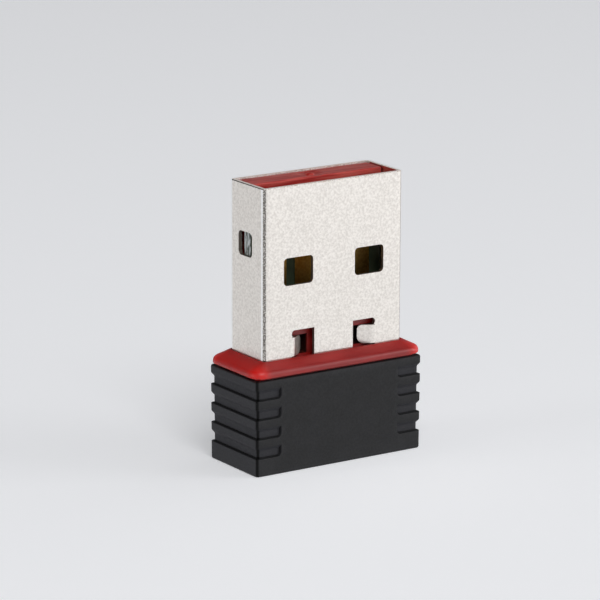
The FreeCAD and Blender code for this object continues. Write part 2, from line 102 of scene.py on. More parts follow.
# %% [markdown]
# ## Helpers for materials
#
# Colours are written as sRGB hex values, because that is how a colour is read off a screen or a swatch.  Blender
# computes with linear light, so one function turns the one into the other.  The second function adds a node of any
# kind, sets its values, links its inputs and gives back its outputs in one call, so that a material reads as a short
# list.  Inputs are named, or listed in the node's own order where that is short and well known.  A Map Range node
# takes a value, the range it comes from and the range it goes to, here always along an S-curve with soft ends.  Two
# more functions begin a material and end it.

# %% Colour and node helpers
S_CURVE = {"interpolation_type": "SMOOTHSTEP"}


def colour(hex_value):
    """Linear RGBA from an sRGB hex value: c / 12.92 below 0.04045, else ((c + 0.055) / 1.055) to the power 2.4."""
    srgb = np.array([int(hex_value[i:i + 2], 16) for i in (1, 3, 5)]) / 255
    linear = np.where(srgb <= 0.04045, srgb / 12.92, ((srgb + 0.055) / 1.055) ** 2.4)
    return (*linear.tolist(), 1.0)


def add(tree, kind, inputs=(), **settings):
    """Adds a node of one kind, sets its properties, and fills its inputs with values or with other sockets.  Inputs
    are a dictionary by name or number, or a list in the node's order.  Returns the node's outputs."""
    node = tree.nodes.new("ShaderNode" + kind)
    for name, value in settings.items():
        setattr(node, name, value)
    for name, value in (inputs.items() if isinstance(inputs, dict) else enumerate(inputs)):
        if isinstance(value, bpy.types.NodeSocket):
            tree.links.new(value, node.inputs[name])
        else:
            node.inputs[name].default_value = value
    return node.outputs


def new_material(name):
    """An empty material and its node tree."""
    material = bpy.data.materials.new(name)
    material.use_nodes = True
    material.node_tree.nodes.clear()
    return material, material.node_tree


def finish_material(tree, **inputs):
    """Ends a material in one Principled shader, whose constants are set on its own sockets."""
    surface = add(tree, "BsdfPrincipled", {key.replace("_", " "): value for key, value in inputs.items()})["BSDF"]
    add(tree, "OutputMaterial", {"Surface": surface})


# %% [markdown]
# ## The studio
#
# The adapter stands on a plain pale table.  Its steel is almost a mirror, so the studio is what the eye sees in it:
# the wide face shows the table on the right and a low white card behind it, and the narrow face shows the table
# behind on the left.  The key is a soft box above the camera.  It lights both faces but is mirrored only by what
# faces the camera, which is the near corner of the red collar.  A second card on the left lights the narrow face
# from the side.  The bright line down the steel's fold is a painted highlight in the steel's finish.

# %% Table
table_half = 1.5
table_drop = 0.01 * MM                      # so that it never shares a face with the cup's flat end
table_glow = 0.35


def make_table():
    """A flat square just under z = 0, with a glow that only the camera, mirrors and glass see."""
    mesh = bpy.data.meshes.new("table")
    signs = ((-1, -1), (1, -1), (1, 1), (-1, 1))
    mesh.from_pydata([(x * table_half, y * table_half, -table_drop) for x, y in signs], [], [(0, 1, 2, 3)])
    material, tree = new_material("pale_painted_table")
    path = add(tree, "LightPath")
    seen = add(tree, "Math", [path["Is Camera Ray"], path["Is Glossy Ray"]], operation="MAXIMUM")[0]
    seen = add(tree, "Math", [seen, path["Is Transmission Ray"]], operation="MAXIMUM")[0]
    glow = add(tree, "Math", [seen, table_glow], operation="MULTIPLY")[0]
    finish_material(tree, Base_Color=colour("#E4E5E8"), Roughness=0.7, Emission_Color=colour("#F2F3F5"),
                    Emission_Strength=glow)
    mesh.materials.append(material)
    return put_in_scene("table", mesh)


make_table()

# %% [markdown]
# The room is pale at eye level and dim overhead, and its bright side is on the right, as if a wide window stood
# there.  The height of a direction is its z, and its dot product with the window's heading is 1 straight at the
# window and falls with the angle.  Each makes a smooth fade, and the room's strength is their product.

# %% Room
room_strength = 1.05
far_share = 0.23
ceiling_share = 0.25
ceiling_start, ceiling_full = math.sin(math.radians(15)), math.sin(math.radians(50))
window_heading = math.radians(50)
window_edge, window_end = math.cos(math.radians(45)), math.cos(math.radians(85))

room = bpy.data.worlds.new("studio")
bpy.context.scene.world = room
room.use_nodes = True
tree = room.node_tree
tree.nodes.clear()
ray = add(tree, "TexCoord")["Generated"]
level_ray = add(tree, "VectorMath", [ray, (1, 1, 0)], operation="MULTIPLY")[0]
level_ray = add(tree, "VectorMath", [level_ray], operation="NORMALIZE")[0]
heading = (math.sin(window_heading), -math.cos(window_heading), 0)
closeness = add(tree, "VectorMath", [level_ray, heading], operation="DOT_PRODUCT")["Value"]
level_share = add(tree, "MapRange", [closeness, window_end, window_edge, room_strength * far_share, room_strength],
                  **S_CURVE)[0]
ray_height = add(tree, "SeparateXYZ", [ray])["Z"]
height_share = add(tree, "MapRange", [ray_height, ceiling_start, ceiling_full, 1, ceiling_share], **S_CURVE)[0]
strength = add(tree, "Math", [level_share, height_share], operation="MULTIPLY")[0]
background = add(tree, "Background", {"Color": colour("#EDEEF1"), "Strength": strength})["Background"]
add(tree, "OutputWorld", {"Surface": background})

# %% Lamps
lamp_target = Vector((0, 0, 12 * MM))       # the middle of the plug
lamp_reach = 0.7


def soft_box(name, heading_degrees, height_degrees, size, power):
    """A square area lamp that faces the part; heading 0 is in front of it and a positive heading to its right."""
    data = bpy.data.lights.new(name, "AREA")
    data.shape = "SQUARE"
    data.size = size
    data.energy = power
    lamp = put_in_scene(name, data)
    side, rise = math.radians(heading_degrees), math.radians(height_degrees)
    direction = Vector((math.sin(side) * math.cos(rise), -math.cos(side) * math.cos(rise), math.sin(rise)))
    lamp.location = lamp_target + lamp_reach * direction
    lamp.rotation_euler = direction.to_track_quat("Z", "Y").to_euler()


soft_box("key", -20, 48, 0.35, 2.2)
soft_box("low_card", 52, 14, 0.3, 1.15)
soft_box("left_card", -100, 14, 0.3, 0.6)
print("lamps:", [lamp.name for lamp in bpy.data.lights])

# %% [markdown]
# ## The black cup
#
# The cup is injection moulded in one piece: straight walls with a hair of draft, a rounded foot, and four finger
# grips at each narrow end.  A grip is a shallow band that wraps round the corner.  It has a steep lower edge with
# a fine groove at its root, a rounded lower inner corner, and an upper edge that runs out in a soft slope.  A
# modeller would cut such bands and then fight with their edges.  Here the whole wall is one surface over two
# numbers, a station along the outline and a height, and the bands are only a depth at each of its points.

# %% Sizes of the cup, in mm
rim_half = node_box("housing")[1][:2]       # half width and half depth at the rim
cup_height = node_box("housing")[1][2]
draft = math.tan(math.radians(0.3))
corner_round = 0.25
foot_round = 0.12
rim_round = 0.12
cup_wall = 0.8
cup_floor = 0.9
grip_count = 4
grip_spacing = 1.43
grip_top_margin = 0.54                      # from the top of the highest grip to the rim
grip_depth = 0.17
grip_height = 0.9
grip_wrap = 2.12                            # reach of a grip from the end of the cup onto its wide face
grip_ramp = 0.34                            # height of the slope that runs out of a grip at its top
grip_corner = 0.3
grip_edge = 0.045                           # run of a grip's steep edge
groove_depth = 0.05
groove_width = 0.12
groove_edge = 0.06
lip_width = 0.06
grip_feet = cup_height - grip_top_margin - grip_height - grip_spacing * np.arange(grip_count)
print("grips start at", np.round(grip_feet, 2), "mm")

# %% [markdown]
# A rounded rectangle is a smaller rectangle plus a circle: each point of the outline is a point of the inner
# rectangle plus the radius times the direction in which the wall faces.  A station therefore holds four numbers,
# its place on the inner rectangle and its facing.  One quarter is written, and mirrored three times.

# %% Stations along the outline
edge_steps = np.array([-0.06, 0.0, 0.011, 0.022, 0.034, 0.045, 0.07, 0.1, 0.13, 0.16, 0.19, 0.22, 0.25, 0.28, 0.32])
past_any_wall = 1000.0


def quarter_stations():
    """Middle of the front, along it, round the corner, and on to the middle of the right end.  Stations stand close
    together where the snap groove ends and where a grip begins."""
    grip_start = rim_half[0] - grip_wrap
    x = np.concatenate([[0.0, 1.2, 2.48, 2.5, 3.6, 4.6], grip_start + edge_steps, [5.7, 6.1, 6.5]])
    front = np.stack([x, np.full_like(x, -past_any_wall), 0 * x, 0 * x - 1], axis=1)
    turn = np.radians(np.linspace(-90, 0, 9))
    corner = np.stack([0 * turn + past_any_wall, 0 * turn - past_any_wall, np.cos(turn), np.sin(turn)], axis=1)
    y = np.array([-2.5, -1.2, 0.0])
    end = np.stack([np.full_like(y, past_any_wall), y, 0 * y + 1, 0 * y], axis=1)
    return np.concatenate([front, corner, end])


quarter = quarter_stations()
mirror_x = np.array([-1, 1, -1, 1])
mirror_y = np.array([1, -1, 1, -1])
stations = np.concatenate([quarter[:-1], (quarter[::-1] * mirror_y)[:-1],
                           (quarter * mirror_x * mirror_y)[:-1], (quarter[::-1] * mirror_x)[:-1]])
print("stations round the cup:", len(stations))


# %% Depth of the grips
def smooth(t):
    """Zero below 0, one above 1, and 3 t^2 - 2 t^3 between, which starts and ends level."""
    t = np.clip(t, 0, 1)
    return t * t * (3 - 2 * t)


def grip_field(z):
    """Depth of the grips at each height and station, with how rubbed each point is, the painted shade in the grooves
    and the painted light in the grips.

    u is the distance into a grip from its inner end and v the height above its foot.  The distance to the edge is
    the smaller of the two, except at the corner, where it is the corner's radius less the distance to its centre.
    The depth is an S-curve of that distance times r, an S-curve that runs out at the top, plus the groove's depth
    where the edge is near.  The rubbed lip is a bell curve of the distance, centred just outside the edge, times r.
    The painted light in the grips is the S-curve of the distance times (r / 2 + 2 r (1 - r)), so that the slope where
    a grip runs out is painted lightest."""
    u = (np.minimum(np.abs(stations[:, 0]), rim_half[0]) - (rim_half[0] - grip_wrap))[None, None, :]
    v = z[None, :, None] - grip_feet[:, None, None]
    in_corner = (u < grip_corner) & (v < grip_corner)
    rounded = grip_corner - np.hypot(grip_corner - u, grip_corner - v)
    to_edge = np.where(in_corner, rounded, np.minimum(u, v))
    run_out = smooth((grip_height - v) / grip_ramp)
    sunk = smooth(to_edge / grip_edge) * run_out
    groove = smooth(to_edge / grip_edge) * smooth((groove_width - to_edge) / groove_edge) * run_out
    depth = (grip_depth * sunk + groove_depth * groove).max(axis=0)
    lip = (np.exp(-((to_edge + grip_edge) / lip_width) ** 2) * run_out).max(axis=0)
    painted_grip_light = (smooth(to_edge / grip_edge) * (0.5 * run_out + 2 * run_out * (1 - run_out))).max(axis=0)
    return depth, lip, groove.max(axis=0), painted_grip_light


# %% [markdown]
# The rows go up the outside, over the rim, down the hollow and stop at its floor.  Each row has a height and an
# inset, and the two rounded edges are rows on a quarter circle.  The hollow has a half-round groove near the rim on
# each long side, which the carrier's ridge snaps into.  Two flat faces close the surface, at the foot and at the
# floor of the hollow, so that the mesh is one watertight body.

# %% Rows of the cup
snap_height = cup_height - 0.75
snap_radius = 0.21
snap_inside = 0.05                          # the ridge's axis lies this far inside the hollow
snap_half_length = 2.5


def outside_rows():
    """Height and inset of the rows from the foot to the rim, and 1 on the two rounded edges.  Rows stand close
    together at a grip's lower edge and on the slope that runs out of it."""
    turn = np.radians(np.linspace(0, 90, 7))
    foot_z, foot_inset = foot_round * (1 - np.cos(turn)), foot_round * (1 - np.sin(turn))
    rim_z, rim_inset = cup_height - rim_round * (1 - np.sin(turn)), rim_round * (1 - np.cos(turn))
    run_out = grip_height - grip_ramp + np.linspace(-0.06, grip_ramp + 0.05, 11)
    steps = np.concatenate([edge_steps, [0.4], run_out])
    wall_z = np.sort((grip_feet[:, None] + steps[None, :]).ravel())
    z = np.concatenate([foot_z, wall_z, rim_z])
    inset = np.concatenate([foot_inset, 0 * wall_z, rim_inset])
    rounded = np.concatenate([0 * foot_z + 1, 0 * wall_z, 0 * rim_z + 1])
    return z, inset, rounded


def hollow_inset(z):
    """Inset of the hollow's wall: the wall's thickness less the depth of the snap groove, which is the height of a
    circle above its chord, on the middle of the long sides."""
    reach = np.sqrt(np.maximum(snap_radius ** 2 - (z - snap_height) ** 2, 0)) - snap_inside
    on_long_side = (np.abs(stations[:, 3]) == 1) & (np.abs(stations[:, 0]) < snap_half_length - 0.01)
    return cup_wall - np.maximum(reach, 0)[:, None] * on_long_side[None, :]


def ring_points(z, inset):
    """Points of all rows: the station's place, clipped to the inner rectangle at that inset, plus the corner's
    radius times its facing.  The rectangle shrinks downwards with the draft."""
    half = rim_half[None, None, :] - (cup_height - z)[:, None, None] * draft - inset[:, :, None] - corner_round
    inner = np.clip(stations[None, :, :2], -half, half)
    flat = inner + corner_round * stations[None, :, 2:]
    return np.concatenate([flat, np.broadcast_to(z[:, None, None], flat.shape[:2] + (1,))], axis=2)


def grid_piece(name, points, attributes):
    """A closed mesh from rings of points: quads between the rings, one flat face on the first and the last ring."""
    rows, columns = points.shape[:2]
    index = np.arange(rows * columns).reshape(rows, columns)
    following = np.roll(index, -1, axis=1)
    quads = np.stack([index[:-1], following[:-1], following[1:], index[1:]], axis=-1).reshape(-1, 4)
    mesh = bpy.data.meshes.new(name)
    mesh.from_pydata((points.reshape(-1, 3) * MM).tolist(), [],
                     quads.tolist() + [index[0, ::-1].tolist(), index[-1].tolist()])
    smooth_faces = np.ones(len(mesh.polygons), dtype=bool)
    smooth_faces[-2:] = False
    mesh.polygons.foreach_set("use_smooth", smooth_faces)
    for label, values in attributes.items():
        mesh.attributes.new(label, "FLOAT", "POINT").data.foreach_set("value", values.ravel())
    piece = put_in_scene(name, mesh)
    return piece


# %% Build the cup
def make_cup():
    """The moulded cup as one closed surface, with painted values for its finish: rubbed lips, painted groove shade,
    painted light in the grips, and how far each station faces a corner.
    """
    z_out, inset_out, rounded = outside_rows()
    depth, lip, groove, painted_grip_light = grip_field(z_out)
    rubbed = np.clip(np.maximum(lip, rounded[:, None]), 0, 1)
    corner = np.broadcast_to(2 * np.abs(stations[:, 2] * stations[:, 3]), depth.shape)
    turn = np.linspace(-1, 1, 9)
    z_in = np.concatenate([[cup_height], snap_height - snap_radius * turn, [cup_floor]])
    z = np.concatenate([z_out, z_in])
    inset = np.concatenate([inset_out[:, None] + depth, hollow_inset(z_in)])
    inside = np.zeros((len(z_in), len(stations)))
    painted = {"rubbed": rubbed, "painted_groove_shade": groove, "painted_grip_light": painted_grip_light, "corner": corner}
    painted = {label: np.concatenate([values, inside]) for label, values in painted.items()}
    cup = grid_piece("moulded_cup", ring_points(z, inset), painted)
    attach(cup, "root")
    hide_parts("housing")
    return cup


cup = make_cup()
print("cup:", len(cup.data.polygons), "faces")

# %% [markdown]
# Inside the cup two posts hold the lower corners of the board, one in a slot of each.  A post is a profile seen
# from above, carried straight up: a plain block up to the board's end, and a block with a slot beside it above.

# %% Posts for the board
board_low, board_high = node_box("circuit_board")
slot_clearance = 0.05
post_bite = 0.7
post_cheek = 0.8
post_lip = 0.7
post_root = 0.4                             # how far a post runs into the floor and the wall of the cup
foot_draft = 0.03                           # what the draft takes from the hollow's half width down at the posts


def upright_prism(profile, z_low, z_high):
    """Points and faces of a profile, a list of corners seen from above, carried from one height to another."""
    profile = np.array(profile)
    count = len(profile)
    points = np.concatenate([np.column_stack([profile, np.full(count, z)]) for z in (z_low, z_high)])
    index = np.arange(count)
    following = np.roll(index, -1)
    sides = np.stack([index, following, following + count, index + count], axis=1).tolist()
    return points, sides + [index[::-1].tolist(), (index + count).tolist()]


def make_post(name, side):
    """A post as one closed mesh: the lower prism is whole, the upper one has the board's slot cut from its profile."""
    inner = board_high[0] - post_bite
    outer = rim_half[0] - cup_wall - foot_draft + post_root / 2
    back, front = board_high[1] + post_cheek, board_low[1] - post_cheek
    slot_back, slot_front = board_high[1] + slot_clearance, board_low[1] - slot_clearance
    slot_end = board_high[0] + slot_clearance
    block = [(inner, front), (outer, front), (outer, back), (inner, back)]
    slotted = [(inner, front), (outer, front), (outer, back), (inner, back),
               (inner, slot_back), (slot_end, slot_back), (slot_end, slot_front), (inner, slot_front)]
    low_points, low_faces = upright_prism(block, cup_floor - post_root, board_low[2])
    high_points, high_faces = upright_prism(slotted, board_low[2], board_low[2] + post_lip)
    points = np.concatenate([low_points, high_points])
    points[:, 0] *= side
    shifted = [[corner + len(low_points) for corner in face] for face in high_faces]
    faces = [face[::side] for face in low_faces + shifted]
    mesh = bpy.data.meshes.new(name)
    mesh.from_pydata((points * MM).tolist(), [], faces)
    post = put_in_scene(name, mesh)
    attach(post, "root")
    return post


posts = [make_post("board_post_left", -1), make_post("board_post_right", 1)]
print("posts:", [len(post.data.polygons) for post in posts], "faces")

# %% [markdown]
# ## Finishes
#
# Every pattern is laid out in millimetres of the part itself, so that a grain of 0.15 mm is that wide on the steel
# and on the plastic alike.  A noise runs from 0 to 1 but seldom leaves the span from 0.3 to 0.7, so that span is
# stretched where a pattern should reach both of its ends.  A finish is a ground with coats over it, as a painter lays
# them: each coat is a pattern that says where it covers, and a colour.

# %% Patterns and coats
noise_span = 0.3, 0.7
noise_core = 0.35, 0.65                     # a shorter span, which leaves more of both colours
COVER, UNDER, OVER, BLEND = 0, 6, 7, 2      # places of the colour sockets on a Mix node, which share their names


def place_in_mm(tree):
    """The point's own place on the part, in mm."""
    place = add(tree, "TexCoord")["Object"]
    return add(tree, "VectorMath", {0: place, "Scale": 1 / MM}, operation="SCALE")[0]


def grain(tree, place, width_mm, detail=2.0, roughness=0.5, stretch=(1, 1, 1)):
    """Noise from 0 to 1 whose grains are about width_mm wide, or longer where the place is squeezed by stretch."""
    squeezed = add(tree, "VectorMath", [place, stretch], operation="MULTIPLY")[0]
    return add(tree, "TexNoise", {"Vector": squeezed, "Scale": 1 / width_mm, "Detail": detail,
                                  "Roughness": roughness})["Fac"]


def all_of(tree, *shares):
    """The product of several shares from 0 to 1, which is 1 only where all of them are 1."""
    product = shares[0]
    for share in shares[1:]:
        product = add(tree, "Math", [product, share], operation="MULTIPLY")[0]
    return product


def coats(tree, ground, *layers):
    """Lays colours over a ground in turn.  Each layer is a pair, how far it covers and its colour, and the blend is
    (1 - cover) times what lies under it plus cover times its colour."""
    for cover, tint in layers:
        ground = add(tree, "Mix", {COVER: cover, UNDER: ground, OVER: tint}, data_type="RGBA")[BLEND]
    return ground


# %% [markdown]
# ### Spark-eroded ABS
#
# The cup is ABS from a mould whose steel was left with the fine, even pitting of spark erosion.  That gives a soft,
# dull black with no clear reflection.  Where fingers rub the lips of the grips the pits wear smooth, which shows as
# a slightly greyer line.  The narrow ends are painted a little greyer all over, as painted light.  The sunk grips, and
# most of all the slopes where they run out, are painted a lighter, bluer grey, also painted light.  The upright
# corners are painted darker and their reflection is dimmed, a painted dark line, and the grooves at the feet of the
# grips are painted near black as painted shade.

# %% ABS, moulded
def moulded_abs():
    """Black.  Its coats are the cup's painted values, with painted light in the grips, painted shade in the grooves
    and corners, and painted light where a face looks sideways, at the narrow ends.
    """
    material, tree = new_material("abs_spark_eroded")
    place = place_in_mm(tree)
    rubbed, painted_groove_shade, painted_grip_light, corner = (add(tree, "Attribute", attribute_name=label)["Fac"]
                                        for label in ("rubbed", "painted_groove_shade", "painted_grip_light", "corner"))
    pits = grain(tree, place, 0.14)         # real pits are near 0.03 mm, too fine to show at this size
    patches = grain(tree, place, 1.6, detail=3.0)
    drift = add(tree, "MapRange", [patches, *noise_span, 0, 1], **S_CURVE)[0]
    patchy = add(tree, "MapRange", [patches, *noise_core, 0.25, 0.6], **S_CURVE)[0]
    sideways = add(tree, "SeparateXYZ", [add(tree, "TexCoord")["Normal"]])["X"]
    sideways = add(tree, "Math", [sideways], operation="ABSOLUTE")[0]
    # Painted light: the narrow ends, whose faces look along x, are painted a lighter grey.
    painted_end_light = add(tree, "MapRange", [sideways, 0.7, 0.95, 0, 1], **S_CURVE)[0]
    # Painted shade: the upright corners are painted darker and their reflection is dimmed, as a dark line.
    painted_corner_shade = add(tree, "MapRange", [corner, 0.3, 1, 0, 1], **S_CURVE)[0]
    # Painted light in the grips and painted shade in the grooves at their feet are coats here, from the cup's painted
    # values.
    body = coats(tree, colour("#08080A"),
                 (drift, colour("#0D0D10")),
                 (all_of(tree, rubbed, patchy), colour("#1E1E20")),
                 (painted_end_light, colour("#2C2C30")),
                 (painted_grip_light, colour("#26262C")),
                 (painted_corner_shade, colour("#040404")),
                 # Painted shade: the grooves at the feet of the grips are painted near black.
                 (painted_groove_shade, colour("#030303")))
    corner_dimmed_reflection = coats(tree, colour("#FFFFFF"), (painted_corner_shade, colour("#A0A0A0")))
    dull = add(tree, "MapRange", [pits, *noise_span, 0.6, 0.7], **S_CURVE)[0]
    relief = add(tree, "Bump", {"Height": pits, "Distance": 0.012 * MM, "Strength": 0.5})["Normal"]
    finish_material(tree, Base_Color=body, Roughness=dull, IOR=1.54, Specular_IOR_Level=0.38, Specular_Tint=corner_dimmed_reflection,
                    Normal=relief)
    return material


# %% [markdown]
# ### Red PBT
#
# The carrier is a glass-filled polyester, the usual plastic inside a connector because it stands the heat of
# soldering.  It comes out of a polished mould with a soft gloss, and the melt leaves faint streaks along the way
# it flowed.  On this part it flowed across, from one narrow end to the other, so the streaks are drawn long in X.
# Red light travels about half a millimetre in it, which the shader's subsurface gives, and on top of that the collar
# is painted a brighter red towards its ends and corners, as painted light.  Towards the tip the wall is painted a
# paler red with paler streaks along X, a painted sheen.  The two pockets for the lock tabs are painted dark, as
# painted shade.

# %% PBT, moulded, with sizes in mm
shell_low, shell_high = node_box("usb_shell")
seat_depth = 0.15                           # the shell's foot stands this deep in the collar
tab_height = 1.42
pocket_mouth = shell_low[1] + 0.62          # front face of the carrier's core
pocket_shade = pocket_mouth - 0.2, pocket_mouth + 0.25, 0, 1
pocket_back = -0.1
pocket_top = shell_low[2] + seat_depth + tab_height
pocket_middle, pocket_half_width = 2.7, 1.1
end_painted_light = 5.6, 7.0, 0, 0.52                # over this range of |x| the painted light grows from nothing to this share
side_painted_light = 1.6, 2.9, 0, 0.55               # the same over |y|, where |x| lies near an end
near_end = 5.8, 6.9, 0, 1
tip_painted_sheen = 18.5, 19.5, 0, 1                 # the range of z over which the painted sheen of the tip begins
print("pockets end", round(pocket_top, 2), "mm up, and the tip is at", round(shell_high[2], 2), "mm")


def in_the_pockets(tree, parts):
    """How far a point lies inside the pockets behind the lock tabs: past their mouth, and between their ends."""
    size = add(tree, "Math", [parts["X"]], operation="ABSOLUTE")[0]
    inside = add(tree, "MapRange", [parts["Y"], *pocket_shade], **S_CURVE)[0]
    shallow = add(tree, "Math", [parts["Y"], pocket_back], operation="LESS_THAN")[0]
    low = add(tree, "Math", [parts["Z"], pocket_top + 0.01], operation="LESS_THAN")[0]
    raised = add(tree, "Math", [parts["Z"], pocket_top - tab_height - 0.005], operation="GREATER_THAN")[0]
    across = add(tree, "Math", [size, pocket_middle, pocket_half_width], operation="COMPARE")[0]
    return all_of(tree, inside, shallow, low, raised, across)


def moulded_pbt():
    """Red, with a drift along the flow, clouds, painted light at the ends and corners, a painted sheen at the tip and
    painted shade in the pockets.
    """
    material, tree = new_material("pbt_moulded_red")
    place = place_in_mm(tree)
    parts = add(tree, "SeparateXYZ", [place])
    along, across = (add(tree, "Math", [parts[axis]], operation="ABSOLUTE")[0] for axis in "XY")
    flow = grain(tree, place, 0.5, detail=3.0, stretch=(0.12, 1, 1))
    patches = grain(tree, place, 2.5)
    scratches = grain(tree, place, 0.22, detail=3.0, stretch=(0.06, 1, 1))
    drift = add(tree, "MapRange", [flow, *noise_span, 0, 1], **S_CURVE)[0]
    clouds = add(tree, "MapRange", [patches, 0.45, 0.8, 0, 0.5], **S_CURVE)[0]
    streaks = add(tree, "MapRange", [scratches, *noise_core, 0, 1], **S_CURVE)[0]
    # Painted light: the collar is painted a brighter red towards its ends and corners.
    at_end = add(tree, "MapRange", [along, *end_painted_light], **S_CURVE)[0]
    at_side = add(tree, "MapRange", [across, *side_painted_light], **S_CURVE)[0]
    at_corner = all_of(tree, at_side, add(tree, "MapRange", [along, *near_end], **S_CURVE)[0])
    glow = add(tree, "Math", [at_end, at_corner], operation="ADD")[0]
    # Painted sheen: towards the tip the wall is painted a paler red with paler streaks.
    at_tip = add(tree, "MapRange", [parts["Z"], *tip_painted_sheen], **S_CURVE)[0]
    body = coats(tree, colour("#8A120F"),
                 (drift, colour("#9C1814")),
                 (clouds, colour("#7A1210")),
                 (glow, colour("#D81A12")),
                 (at_tip, coats(tree, colour("#A4241E"), (streaks, colour("#C6544B")))),
                 # Painted shade: the pockets behind the lock tabs are painted a dark brown-red.
                 (in_the_pockets(tree, parts), colour("#3A1D17")))
    gloss = add(tree, "MapRange", [flow, *noise_span, 0.32, 0.44], **S_CURVE)[0]
    relief = add(tree, "Bump", {"Height": flow, "Distance": 0.01 * MM, "Strength": 0.3})["Normal"]
    finish_material(tree, Base_Color=body, Roughness=gloss, IOR=1.55, Normal=relief,
                    Subsurface_Weight=0.4, Subsurface_Radius=(1.0, 0.12, 0.08), Subsurface_Scale=0.5 * MM)
    return material


# %% [markdown]
# ### Nickel-plated sheet steel
#
# The plug is steel strip, 0.3 mm thick, plated with nickel, punched and folded.  Rolling and plating leave its
# outside covered with tiny soft dimples, so it shines like satin; the inside was pressed against a polished
# mandrel and is nearly a mirror.  Along the middle of each fold a thin, broken, darker line is painted, strongest on
# the left, as a painted dark reflection, with a painted bright highlight beside it towards the narrow face.  Where a
# window was punched, the cut is bare, dull and grey-brown.  The cut at the tip is a rough pale burr, so rough that
# it scatters light like chalk, and where the port's tongue rubs the back wall the burr runs a little way down the
# inside.  On the narrow sides a thin, broken dark line of painted shade runs along the bevel outside the burr, and
# the lock tabs are painted darker where they turn furthest, as painted shade.
#
# One number tells these places apart: how deep a point lies in the sheet, 0 at the outer face and 0.3 at the
# inner.  It is the fold's radius less the length of what is left of (|x|, |y|) past the straight sides.  In a fold
# both parts of that vector are above zero, and twice their product over the length squared is the sine of twice
# the angle, which peaks in the middle of the fold.

# %% Steel, plated: where a point lies, with sizes in mm
sheet_thickness = 0.3
plated_skin = 0.015, 0.03                   # over this range of depth the skin gives way to bare steel
mirror_side = 0.27, 0.29                    # and over this one the inner face begins
fold_radius = 0.4
shell_half = np.array([6.0, 2.25])
lock_top = pocket_top + 0.04
lock_middle, lock_half_width = 2.65, 0.97   # the slots reach from 1.67 to 3.61 mm on each side
lock_back = -0.9
tab_shade_reach = -2.2, -1.5, 0, 1              # over this range of y the painted shade on a lock tab grows
tip_level = shell_high[2]
burr_height = 0.06
tongue_reach = tip_level - 0.28, tip_level - 0.14, 0, 0.8


def place_in_sheet(tree, place):
    """Depth below the outer face in mm, the place across a fold as the sine of twice its angle, and how far that
    place lies on the fold's half beside a narrow face, from -1 to 1."""
    corner = (shell_half[0] - fold_radius, shell_half[1] - fold_radius, 0)
    flat = add(tree, "VectorMath", [place, (1, 1, 0)], operation="MULTIPLY")[0]
    size = add(tree, "VectorMath", [flat], operation="ABSOLUTE")[0]
    past = add(tree, "VectorMath", [size, corner], operation="SUBTRACT")[0]
    past = add(tree, "VectorMath", [past, (0, 0, 0)], operation="MAXIMUM")[0]
    length = add(tree, "VectorMath", [past], operation="LENGTH")["Value"]
    depth = add(tree, "Math", [fold_radius, length], operation="SUBTRACT")[0]
    unit = add(tree, "SeparateXYZ", [add(tree, "VectorMath", [past], operation="NORMALIZE")[0]])
    across_fold = all_of(tree, unit["X"], unit["Y"], 2.0)
    narrow_half = add(tree, "Math", [unit["X"], unit["Y"]], operation="SUBTRACT")[0]
    return depth, across_fold, narrow_half


def inside_the_locks(tree, parts):
    """One where a point belongs to a lock tab or to the slot round it, and zero elsewhere."""
    size = add(tree, "Math", [parts["X"]], operation="ABSOLUTE")[0]
    below_arm = add(tree, "Math", [parts["Z"], lock_top], operation="LESS_THAN")[0]
    in_reach = add(tree, "Math", [size, lock_middle, lock_half_width], operation="COMPARE")[0]
    near_front = add(tree, "Math", [parts["Y"], lock_back], operation="LESS_THAN")[0]
    return all_of(tree, below_arm, in_reach, near_front)


def seen_edge_on(tree, facing):
    """One where a face looks along the sheet rather than across it, which is where a tab was sheared: the y of its
    normal lies within 0.3 of zero."""
    size = add(tree, "Math", [facing["Y"]], operation="ABSOLUTE")[0]
    return add(tree, "Math", [size, 0.3], operation="LESS_THAN")[0]


# %% Steel, plated: how a point is marked
def shade_on_turned_tab(tree, parts, facing, on_tab):
    """How far a lock tab's face has turned to the right, which is painted darker as painted shade.  The painted shade
    grows towards the sheared end, which lies deepest in the shell."""
    turned = add(tree, "MapRange", [facing["X"], 0.2, 0.6, 0, 1], **S_CURVE)[0]
    inward = add(tree, "MapRange", [parts["Y"], *tab_shade_reach], **S_CURVE)[0]
    return all_of(tree, turned, inward, on_tab)


def on_the_tip(tree, parts, facing, depth):
    """Whether a point lies on the pale burr at the tip, and whether on the bevel outside the burr on the narrow sides,
    where a dark line is painted as shade.  The normal of a cut face has a z over 0.35, that of the bevel also a z
    under 0.9, and on a narrow side its y lies within 0.4 of zero."""
    at_tip = add(tree, "Math", [parts["Z"], tip_level - burr_height], operation="GREATER_THAN")[0]
    upward = add(tree, "Math", [facing["Z"], 0.35], operation="GREATER_THAN")[0]
    slanting = add(tree, "Math", [facing["Z"], 0.9], operation="LESS_THAN")[0]
    outside = add(tree, "Math", [depth, sheet_thickness / 2], operation="LESS_THAN")[0]
    narrow = add(tree, "Math", [facing["Y"], 0, 0.4], operation="COMPARE")[0]
    cut = all_of(tree, at_tip, upward)
    bevel = all_of(tree, slanting, cut, outside, narrow)
    return add(tree, "Math", [cut, bevel], operation="SUBTRACT")[0], bevel


def rubbed_by_the_tongue(tree, parts, facing, inside, fine_breakup):
    """How far the burr has spread down the inside of the back wall, which faces the contacts, just under the tip."""
    high = add(tree, "MapRange", [parts["Z"], *tongue_reach], **S_CURVE)[0]
    forward = add(tree, "MapRange", [facing["Y"], -0.3, -0.8, 0, 1], **S_CURVE)[0]
    broken = add(tree, "MapRange", [fine_breakup, 0.3, 0.6, 0.5, 1], **S_CURVE)[0]
    return all_of(tree, inside, high, forward, broken)


